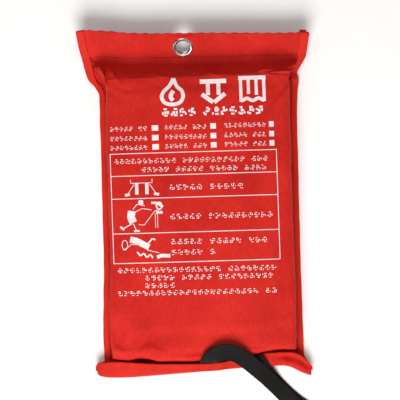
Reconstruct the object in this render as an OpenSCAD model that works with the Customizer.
// Soft fire blanket pouch: a sewn nylon pouch with a hanging header and an eyelet.
// The blanket is folded in a concertina inside it, and two webbing pull tapes
// hang out of the open mouth. The pouch lies on its back: +Y points to the header,
// +Z away from the back panel, and the origin is under the middle of the back.

/* [Pouch] */
// Length from the mouth lip to the top edge
pouch_length = 314; // [306:2:322]
// Width over the side bindings
body_width = 181; // [178:1:188]
// Width of the header at the top edge
header_width = 214; // [208:1:220]
// Width of the lip at the mouth
lip_width = 198; // [192:1:204]
// Thickness of one layer of pouch fabric with its coating
fabric = 0.8; // [0.6:0.1:0.8]
// Width of the folded binding tape
binding_width = 7; // [6.5:0.1:7]
// Height of the front panel over the folded blanket
front_height = 31; // [31:0.5:34]

/* [Header] */
// Depth of the header facing, seen from above
header_depth = 24; // [22:1:26]
// Tilt of the header from the back panel
header_tilt = 32; // [25:1:35]
// Height of the lower edge of the header
header_lift = 5; // [3:0.5:6]

/* [Eyelet] */
// Diameter of the hole through the eyelet
eyelet_bore = 13; // [12:0.5:13]
// Diameter of the eyelet over its flange
eyelet_flange = 19; // [18.5:0.5:21]
// Offset of the eyelet from the middle of the header
eyelet_x = -11; // [-20:1:20]

/* [Blanket] */
// Width of the folded blanket
pack_width = 162; // [156:1:162]
// Length of the folded blanket
pack_length = 250; // [240:1:250]
// Height of the folded blanket
pack_height = 25; // [22:0.5:25]
// Number of long folds stacked on each other
pack_runs = 6; // [4:2:8]

/* [Pull tapes] */
// Width of the webbing
tape_width = 15; // [12:1:15]
// Thickness of the webbing
tape_thick = 1.5; // [1.2:0.1:1.5]

/* [Hidden] */
$fn = 48;

// Heights along Y: the back lies flat, ramps up behind the pack, then tilts at the header
y_top = pouch_length / 2;
y_bottom = -pouch_length / 2;
header_y = y_top - header_depth;
ramp_length = 21;
ramp_y = header_y - ramp_length;
lip_depth = 10;
mouth_y = y_bottom + 18;

function base(y) =
    y < ramp_y ? 0
    : y < header_y ? header_lift * (y - ramp_y) / ramp_length
    : header_lift + (y - header_y) * tan(header_tilt);

// Half width of the pouch along Y, over the bindings
side_stations = [
    [y_bottom + lip_depth, body_width / 2],
    [ramp_y - 8, body_width / 2],
    [ramp_y + 7, body_width / 2 + 8.5],
    [header_y, header_width / 2 - 4],
    [y_top, header_width / 2]
];
function side_x(y) = lookup(y, side_stations);

// Layers of the flat edge, as heights over base(y)
binding_thick = 0.5;
binding_height = 3.1;
back_low = binding_thick;
back_high = back_low + fabric;
front_high = back_high + fabric;
thread = 0.5;
thread_width = 0.7;
hem_height = 2;

// Pack and the room around it
pack_low = 3;
pack_high = pack_low + pack_height;
pack_y = mouth_y + 2;
pack_corner = 8;
fold_gap = 0.3;
sewn_length = 30;
tape_level = pack_low + pack_height / 2;
left_tape_x = 2;
right_tape_x = 40;

// Front panel
wall_x = body_width / 2 - binding_width - 0.2;
shoulder = 12;
panel_end_y = header_y + 1.8;
hem_turn = 0.5;

// Closure strips
strip_length = 120;
strip_width = 16;
hook_height = 1.3;
loop_height = 1.4;

// Eyelet
eyelet_y = header_y + 9.5;
barrel_r = eyelet_bore / 2 + 0.8;
header_normal = binding_height * cos(header_tilt);
eyelet_gap = 0.05;

red = "#d6281e";
bright_red = "#ee3020";
dark_red = "#8f0a05";
webbing_black = "#1e1e1c";
glass_white = "#e6e2d6";

// ---- shared shapes -------------------------------------------------------

// A sheet across the whole width between two heights over base(y)
module layer(low, high) {
    stations = [y_bottom - 10, ramp_y, header_y, y_top + 10];
    last = len(stations) - 1;
    rotate([90, 0, 90])
        linear_extrude(300, center = true)
            polygon(concat(
                [for (y = stations) [y, base(y) + low]],
                [for (i = [last:-1:0]) [stations[i], base(stations[i]) + high]]
            ));
}

// The plan of the pouch, drawn in by an inset on both sides
module plan(inset, from_y, to_y) {
    ys = concat([from_y], [for (s = side_stations) if (s[0] > from_y && s[0] < to_y) s[0]], [to_y]);
    last = len(ys) - 1;
    linear_extrude(80, center = true)
        polygon(concat(
            [for (y = ys) [side_x(y) - inset, y]],
            [for (i = [last:-1:0]) [-side_x(ys[i]) + inset, ys[i]]]
        ));
}

// A strip along the right side between two insets
module side_strip(outer, inner, from_y, to_y) {
    ys = concat([from_y], [for (s = side_stations) if (s[0] > from_y && s[0] < to_y) s[0]], [to_y]);
    last = len(ys) - 1;
    linear_extrude(80, center = true)
        polygon(concat(
            [for (y = ys) [side_x(y) - outer, y]],
            [for (i = [last:-1:0]) [side_x(ys[i]) - inner, ys[i]]]
        ));
}

// A rectangle across the middle of the pouch, tall enough for any layer
module band(width, from_y, to_y) {
    translate([-width / 2, from_y, -40])
        cube([width, to_y - from_y, 80]);
}

// Turns local +Z to the header's front normal, on the eyelet's axis
module at_eyelet() {
    translate([eyelet_x, eyelet_y, base(eyelet_y)])
        rotate([header_tilt, 0, 0])
            children();
}

// ---- panels --------------------------------------------------------------

module back_panel() {
    color(red)
        difference() {
            union() {
                intersection() {
                    layer(back_low, back_high);
                    plan(0.7, y_bottom + lip_depth, y_top - 0.7);
                }
                intersection() {
                    layer(back_low, back_high);
                    band(lip_width - 8, y_bottom + 0.7, y_bottom + lip_depth + 0.1);
                }
                intersection() {
                    layer(0, fabric);
                    plan(binding_width + 0.3, y_bottom + lip_depth + 0.3, header_y - 0.3);
                }
            }
            at_eyelet()
                cylinder(r = barrel_r + eyelet_gap, h = 20, center = true);
        }
}

// One half of an arch in cross-section, from the flange up to the middle
function half_arch(w, h, r, flange_x, flange_z) =
    let (fillet = min(1.2, (h - flange_z) * 0.3))
    concat(
        [[flange_x, flange_z], [w + fillet * 0.1, flange_z], [w, flange_z + fillet]],
        [for (a = [0:15:90]) [w - r + r * cos(a), h - r + r * sin(a)]],
        [[(w - r) * 0.5, h]]
    );

// The whole arch from the right flange to the left flange
function arch(w, h, r, flange_x, flange_z) =
    let (half = half_arch(w, h, r, flange_x, flange_z))
    concat(half, [for (i = [len(half) - 1:-1:0]) [-half[i][0], half[i][1]]]);

// Height and wall position of the front panel along Y
function front_top(y) =
    let (drop = max(0, min(1, (y - ramp_y - 2) / (header_y - ramp_y - 2))))
    front_high + 0.4 + base(y)
    + (front_height - front_high - 0.4) * pow(cos(90 * drop), 1.2);
function front_wall(y) = side_x(y) - binding_width - 0.2;
function front_shoulder(y) = min(shoulder, (front_top(y) - base(y) - front_high) * 0.55);

// A shell that follows the front panel, between two offsets outward from its outer face
module front_shell(ys, outward, inward) {
    outer = [for (y = ys)
        arch(front_wall(y) + outward, front_top(y) + outward, front_shoulder(y) + outward,
             side_x(y) - 0.8 + outward / 2, base(y) + front_high + outward)];
    inner = [for (y = ys)
        arch(front_wall(y) - inward, front_top(y) - inward,
             max(front_shoulder(y) / 2, front_shoulder(y) - inward),
             side_x(y) - 0.8 + outward / 2, base(y) + front_high - inward)];
    n = len(outer[0]);
    m = len(ys);
    points = [for (k = [0:m - 1]) each concat(
        [for (p = outer[k]) [p[0], ys[k], p[1]]],
        [for (p = inner[k]) [p[0], ys[k], p[1]]])];
    function o(k, i) = k * 2 * n + i;
    function q(k, i) = k * 2 * n + n + i;
    faces = concat(
        [for (k = [0:m - 2], i = [0:n - 2]) each
            [[o(k, i), o(k, i + 1), o(k + 1, i + 1)], [o(k, i), o(k + 1, i + 1), o(k + 1, i)],
             [q(k, i), q(k + 1, i + 1), q(k, i + 1)], [q(k, i), q(k + 1, i), q(k + 1, i + 1)]]],
        [for (i = [0:n - 2]) each
            [[o(0, i), q(0, i + 1), o(0, i + 1)], [o(0, i), q(0, i), q(0, i + 1)],
             [o(m - 1, i), o(m - 1, i + 1), q(m - 1, i + 1)],
             [o(m - 1, i), q(m - 1, i + 1), q(m - 1, i)]]],
        [for (k = [0:m - 2]) each
            [[o(k, 0), o(k + 1, 0), q(k + 1, 0)], [o(k, 0), q(k + 1, 0), q(k, 0)],
             [o(k, n - 1), q(k + 1, n - 1), o(k + 1, n - 1)],
             [o(k, n - 1), q(k, n - 1), q(k + 1, n - 1)]]]);
    polyhedron(points, faces);
}

module front_panel() {
    ys = concat(
        [for (i = [0:5]) mouth_y + i * (ramp_y - 8 - mouth_y) / 5],
        [for (y = [ramp_y - 3:3:header_y]) y],
        [panel_end_y]);
    color(red)
        front_shell(ys, 0, fabric);
}

// ---- edges ---------------------------------------------------------------

module right_binding() {
    color(bright_red)
        difference() {
            intersection() {
                layer(0, binding_height);
                side_strip(0, binding_width, y_bottom + lip_depth + 0.2, y_top);
            }
            intersection() {
                layer(binding_thick, binding_height - binding_thick);
                side_strip(binding_thick, binding_width + 1, y_bottom, y_top + 1);
            }
        }
}

module left_binding() {
    mirror([1, 0, 0])
        right_binding();
}

module header_facing() {
    color(red)
        difference() {
            intersection() {
                layer(0, binding_height);
                plan(binding_width + 0.2, header_y, y_top);
            }
            intersection() {
                layer(binding_thick, binding_height - binding_thick);
                band(header_width, header_y - 1, y_top - binding_thick);
            }
            at_eyelet()
                cylinder(r = barrel_r + eyelet_gap, h = 20, center = true);
        }
}

module bottom_hem() {
    color(bright_red)
        difference() {
            translate([-lip_width / 2, y_bottom, 0])
                cube([lip_width, lip_depth, hem_height]);
            translate([-lip_width / 2 + 3.9, y_bottom + 0.6, back_low])
                cube([lip_width - 7.8, lip_depth, fabric]);
        }
}

module front_mouth_hem() {
    ys = [mouth_y - 0.6, mouth_y + binding_width];
    color(bright_red)
        intersection() {
            front_shell(ys, hem_turn, fabric + hem_turn);
            translate([-wall_x - 0.45, y_bottom, binding_height + 0.3])
                cube([2 * wall_x + 0.9, 60, 60]);
        }
}

// ---- eyelet --------------------------------------------------------------

module eyelet() {
    bore_r = eyelet_bore / 2;
    flange_r = eyelet_flange / 2;
    face = header_normal + eyelet_gap;
    color("silver")
        at_eyelet()
            rotate_extrude()
                polygon([
                    [bore_r, -1.5], [barrel_r + 1.1, -1.5], [barrel_r + 1.1, -0.95],
                    [barrel_r, -0.95], [barrel_r, face], [flange_r, face],
                    [flange_r - 0.1, face + 0.5], [flange_r - 0.6, face + 1],
                    [flange_r - 1.4, face + 1.25], [bore_r + 0.8, face + 1.1],
                    [bore_r + 0.2, face + 0.6], [bore_r, face + 0.2]
                ]);
}

module eyelet_washer() {
    inner_r = barrel_r + eyelet_gap;
    outer_r = eyelet_flange / 2;
    color("silver")
        at_eyelet()
            rotate_extrude()
                polygon([
                    [inner_r, -0.9], [outer_r - 0.3, -0.9], [outer_r, -0.6],
                    [outer_r, -0.05], [inner_r, -0.05]
                ]);
}

// ---- closure -------------------------------------------------------------

module hook_strip() {
    color(dark_red)
        translate([-strip_length / 2, mouth_y + 2, back_high])
            cube([strip_length, strip_width, hook_height]);
}

module loop_strip() {
    color(dark_red)
        translate([-strip_length / 2, mouth_y + binding_width + 1,
                   front_height - fabric - loop_height])
            cube([strip_length, strip_width, loop_height]);
}

// ---- seams ---------------------------------------------------------------

module header_seam() {
    color(dark_red)
        difference() {
            intersection() {
                layer(binding_height, binding_height + thread);
                band(header_width - 28, header_y + 1.2, header_y + 1.2 + thread_width);
            }
            at_eyelet()
                cylinder(d = eyelet_flange + 1, h = 20, center = true);
        }
}

module top_edge_seam() {
    color(dark_red)
        intersection() {
            layer(binding_height, binding_height + thread);
            band(header_width - 22, y_top - 2, y_top - 2 + thread_width);
        }
}

module right_seam() {
    seam_inset = binding_width - 1.8;
    color(dark_red)
        intersection() {
            layer(binding_height, binding_height + thread);
            side_strip(seam_inset, seam_inset + thread_width,
                       y_bottom + lip_depth + 2, y_top - 1);
        }
}

module left_seam() {
    mirror([1, 0, 0])
        right_seam();
}

module bottom_hem_seam() {
    color(dark_red)
        translate([-lip_width / 2 + 6, y_bottom + lip_depth - 2, hem_height])
            cube([lip_width - 12, thread_width, thread]);
}

module front_hem_seam() {
    color(dark_red)
        translate([-wall_x + shoulder, mouth_y + binding_width - 2,
                   front_height + hem_turn])
            cube([2 * (wall_x - shoulder), thread_width, thread]);
}

// ---- blanket -------------------------------------------------------------

// Side view of the long folds: slots open at alternate ends
module fold_profile() {
    pitch = pack_height / pack_runs;
    difference() {
        translate([pack_y, pack_low])
            square([pack_length, pack_height]);
        for (i = [1:pack_runs - 1])
            translate([pack_y + (i % 2 == 0 ? -1 : 3), pack_low + i * pitch - fold_gap / 2])
                square([pack_length - 2, fold_gap]);
    }
}

// End view of the pack, with its folded sides rounded
module pack_section() {
    for (x = [-1, 1], z = [-1, 1])
        translate([x * (pack_width / 2 - pack_corner),
                   pack_low + pack_height / 2 + z * (pack_height / 2 - pack_corner)])
            circle(r = pack_corner);
    translate([-pack_width / 2 + pack_corner, pack_low])
        square([pack_width - 2 * pack_corner, pack_height]);
    translate([-pack_width / 2, pack_low + pack_corner])
        square([pack_width, pack_height - 2 * pack_corner]);
}

module folded_blanket() {
    color(glass_white)
        difference() {
            intersection() {
                rotate([90, 0, 90])
                    linear_extrude(pack_width + 2, center = true)
                        fold_profile();
                translate([0, pack_y + pack_length + 1, 0])
                    rotate([90, 0, 0])
                        linear_extrude(pack_length + 2)
                            pack_section();
            }
            for (x = [left_tape_x, right_tape_x])
                translate([x - tape_width / 2, pack_y - 1, tape_level - tape_thick / 2])
                    cube([tape_width, sewn_length + 1, tape_thick]);
        }
}

// The sewn end of a tape, held between two folds of the blanket
module tape_end(x) {
    color(webbing_black)
        translate([x - tape_width / 2, pack_y, tape_level - tape_thick / 2])
            cube([tape_width, sewn_length, tape_thick]);
}

module left_tape_end() {
    tape_end(left_tape_x);
}

module right_tape_end() {
    tape_end(right_tape_x);
}

// Bar tacks through each sewn end and the folds over and under it
module tape_stitches() {
    tack_rows = 3;
    color(dark_red)
        for (x = [left_tape_x, right_tape_x], row = [0:tack_rows - 1], side = [-1, 1])
            translate([x + side * tape_width / 4, pack_y + 6 + row * 9, tape_level])
                cylinder(r = 0.4, h = tape_thick + 3, center = true, $fn = 16);
}

// ---- pull tapes ----------------------------------------------------------

// Each stop is a point on the middle line, then the direction across the tape
left_route = [
    [[2, -137, 15.5], [1, 0, 0]],
    [[2, -142.5, 15.5], [1, 0, 0]],
    [[2, -146.7, 16.8], [1, 0, 0]],
    [[2.1, -148.6, 20.5], [1, 0, 0]],
    [[2.6, -147.6, 25.5], [1, -0.1, 0]],
    [[4.6, -144.6, 30.4], [0.9, -0.5, -0.2]],
    [[9.6, -141, 34.2], [0.6, -0.85, -0.2]],
    [[16, -138.8, 36], [0.15, -1, -0.15]],
    [[23, -139.2, 36.6], [-0.15, -1, -0.1]],
    [[29.5, -141.8, 35.8], [-0.5, -0.9, 0]],
    [[35.3, -146, 32.8], [-0.7, -0.8, 0]],
    [[40.7, -150.8, 27.2], [-0.9, -1, 0]],
    [[46, -156, 19.8], [-0.9, -1, 0]],
    [[51.5, -161.5, 12], [-0.9, -1, 0]],
    [[57.5, -167.5, 6.2], [-0.9, -1, 0]],
    [[64.5, -174.8, 3.5], [-0.9, -1, 0]],
    [[72, -182.8, 2.9], [-0.95, -1, 0]],
    [[80, -191.5, 2.9], [-1, -0.9, 0]],
    [[87, -201, 3], [-1, -0.5, 0]],
    [[90, -212, 2.6], [-1, 0, 0]],
    [[86, -222, 1.1], [-1, 0.7, 0]],
    [[76, -229, 1], [-0.4, 1, 0]]
];
right_route = [
    [[40, -137, 15.5], [1, 0, 0]],
    [[40, -142, 15.5], [1, 0, 0]],
    [[42, -146.7, 17.4], [1, 0.5, 0]],
    [[46.3, -150.7, 17.6], [0.8, 0.7, 0]],
    [[50.5, -154.7, 13.8], [0.8, 0.75, 0]],
    [[54.2, -159.2, 8.4], [0.8, 0.65, 0]],
    [[58.2, -164.7, 3.9], [0.8, 0.6, 0]],
    [[63.4, -171.2, 1.4], [0.8, 0.65, 0]],
    [[70, -178.5, 1], [0.85, 0.8, 0]],
    [[78, -186.5, 1], [0.9, 1, 0]],
    [[87, -194, 1], [0.8, 1, 0]],
    [[98, -200.5, 1], [0.5, 1, 0]],
    [[110, -204.5, 1], [0.2, 1, 0]],
    [[122, -206, 1], [0.1, 1, 0]],
    [[134, -206.5, 1], [0, 1, 0]]
];

function unit(v) = v / norm(v);
// Point or direction on a smooth curve through the stops
function blend4(a, b, c, d, t) =
    0.5 * (2 * b + (c - a) * t + (2 * a - 5 * b + 4 * c - d) * t * t
    + (3 * b - a - 3 * c + d) * t * t * t);
function along(route, i, t, part) =
    let (last = len(route) - 1)
    blend4(route[max(0, i - 1)][part], route[i][part],
           route[min(last, i + 1)][part], route[min(last, i + 2)][part], t);

// Eight corners of the tape's section, as shares of its width and thickness
tape_section = [
    [-1, -0.4], [-0.94, -1], [0.94, -1], [1, -0.4],
    [1, 0.4], [0.94, 1], [-0.94, 1], [-1, 0.4]
];

// Webbing swept along a route, with steps rings between two stops
module webbing(route, steps) {
    stops = len(route) - 1;
    rings = concat(
        [for (i = [0:stops - 1], s = [0:steps - 1])
            [along(route, i, s / steps, 0), along(route, i, s / steps, 1)]],
        [[route[stops][0], route[stops][1]]]);
    m = len(rings);
    n = len(tape_section);
    points = [for (k = [0:m - 1])
        let (ahead = unit(rings[min(m - 1, k + 1)][0] - rings[max(0, k - 1)][0]),
             across = unit(rings[k][1] - ahead * (rings[k][1] * ahead)),
             up = cross(ahead, across))
        for (c = tape_section)
            rings[k][0] + across * c[0] * tape_width / 2 + up * c[1] * tape_thick / 2];
    faces = concat(
        [for (k = [0:m - 2], i = [0:n - 1]) each
            [[k * n + i, k * n + (i + 1) % n, (k + 1) * n + (i + 1) % n],
             [k * n + i, (k + 1) * n + (i + 1) % n, (k + 1) * n + i]]],
        [[for (i = [n - 1:-1:0]) i]],
        [[for (i = [0:n - 1]) (m - 1) * n + i]]);
    color(webbing_black)
        polyhedron(points, faces);
}

module left_pull_tape() {
    webbing(left_route, 2);
}

module right_pull_tape() {
    webbing(right_route, 2);
}

back_panel();
front_panel();
header_facing();
left_binding();
right_binding();
bottom_hem();
front_mouth_hem();
eyelet();
eyelet_washer();
hook_strip();
loop_strip();
header_seam();
top_edge_seam();
left_seam();
right_seam();
bottom_hem_seam();
front_hem_seam();
folded_blanket();
left_tape_end();
right_tape_end();
tape_stitches();
left_pull_tape();
right_pull_tape();
